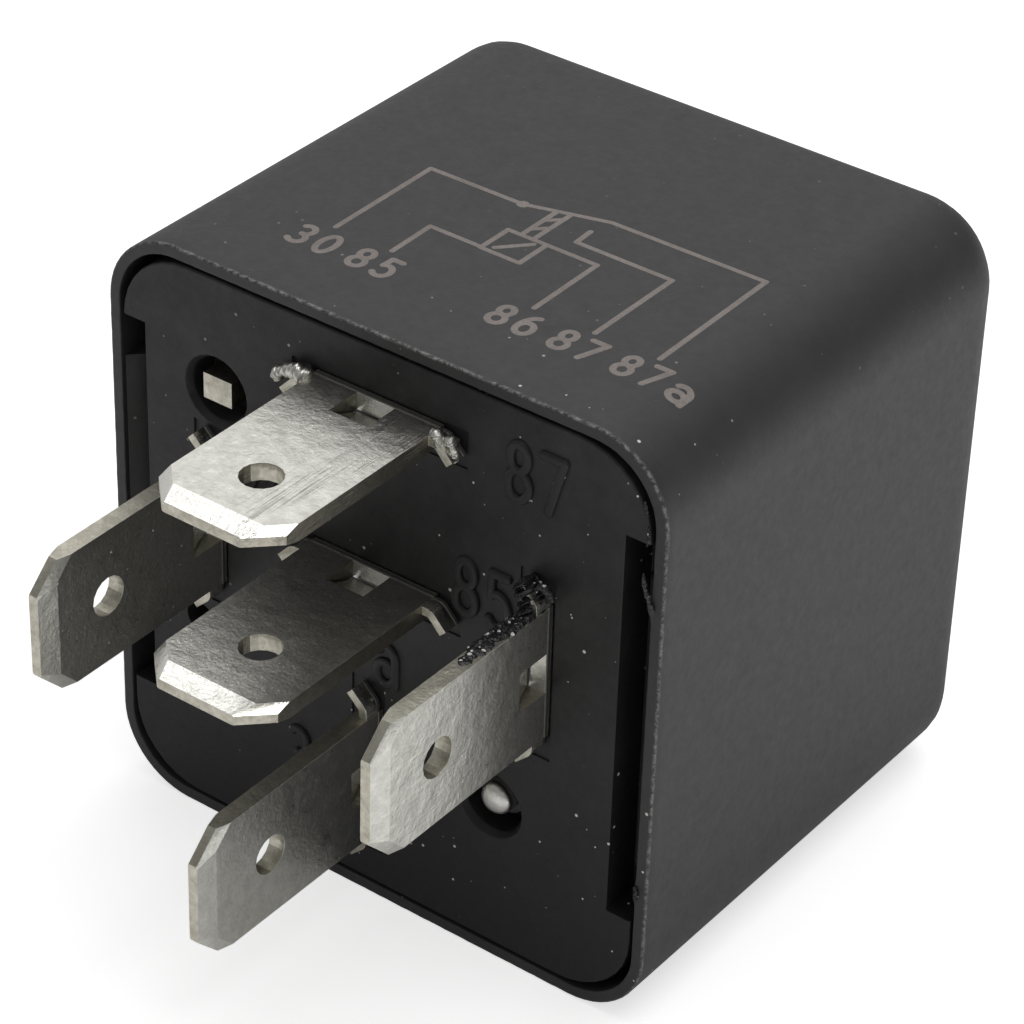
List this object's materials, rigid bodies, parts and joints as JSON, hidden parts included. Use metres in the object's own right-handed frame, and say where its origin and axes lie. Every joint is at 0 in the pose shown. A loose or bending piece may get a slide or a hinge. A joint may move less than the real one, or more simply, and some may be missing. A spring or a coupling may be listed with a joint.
{
  "type": "plug in relay",
  "caption": "Plug-in changeover relay: square black case with a blade-terminal base, and inside it a coil on a yoke with a hinged armature and leaf spring that switches the contacts.",
  "frame": {"origin": "middle of the seating face, where the base meets the socket", "axes": "-Y along the blades, +Y towards the closed end of the case, +Z through the marked side, which looks up as the relay lies"},
  "size_m": [0.028, 0.0359, 0.028],
  "materials": {
    "case_plastic": "moulded black, fine matt grain",
    "base_plastic": "moulded black, smooth",
    "tinned_blade": "tin-plated, bright with drawn scratches",
    "iron": "zinc-plated, satin",
    "spool_plastic": "natural moulded",
    "enamelled_copper": "enamelled",
    "solder": "as flowed",
    "spring_bronze": "rolled",
    "contact_silver": "coined",
    "rivet": "plated"
  },
  "bodies": {
    "frame": {"case": "case_plastic", "base": "base_plastic", "terminal_30": "tinned_blade", "terminal_85": "tinned_blade", "terminal_86": "tinned_blade", "terminal_87": "tinned_blade", "terminal_87a": "tinned_blade", "frame_rivet": "rivet", "yoke": "iron", "core": "iron", "bobbin": "spool_plastic", "coil_layers": "enamelled_copper", "coil_wire": "enamelled_copper", "coil_lead": "enamelled_copper", "solder_85": "solder", "solder_86": "solder", "contact_87": "contact_silver", "contact_87a": "contact_silver", "yoke_rivet_left": "rivet", "yoke_rivet_right": "rivet"},
    "armature": {"armature": "iron", "contact_spring": "spring_bronze", "moving_contact": "contact_silver", "armature_rivet_left": "rivet", "armature_rivet_right": "rivet"}
  },
  "joints": [
    {"name": "armature_hinge", "type": "hinge", "parent": "frame", "child": "armature", "pos_m": [0, 0.0172, -0.0109], "axis": [1, 0, 0], "range_deg": [0, 1.79], "stiffness_Nm_per_rad": 0.3, "springref_deg": -3.44, "deforming": ["contact_spring"]}
  ]
}
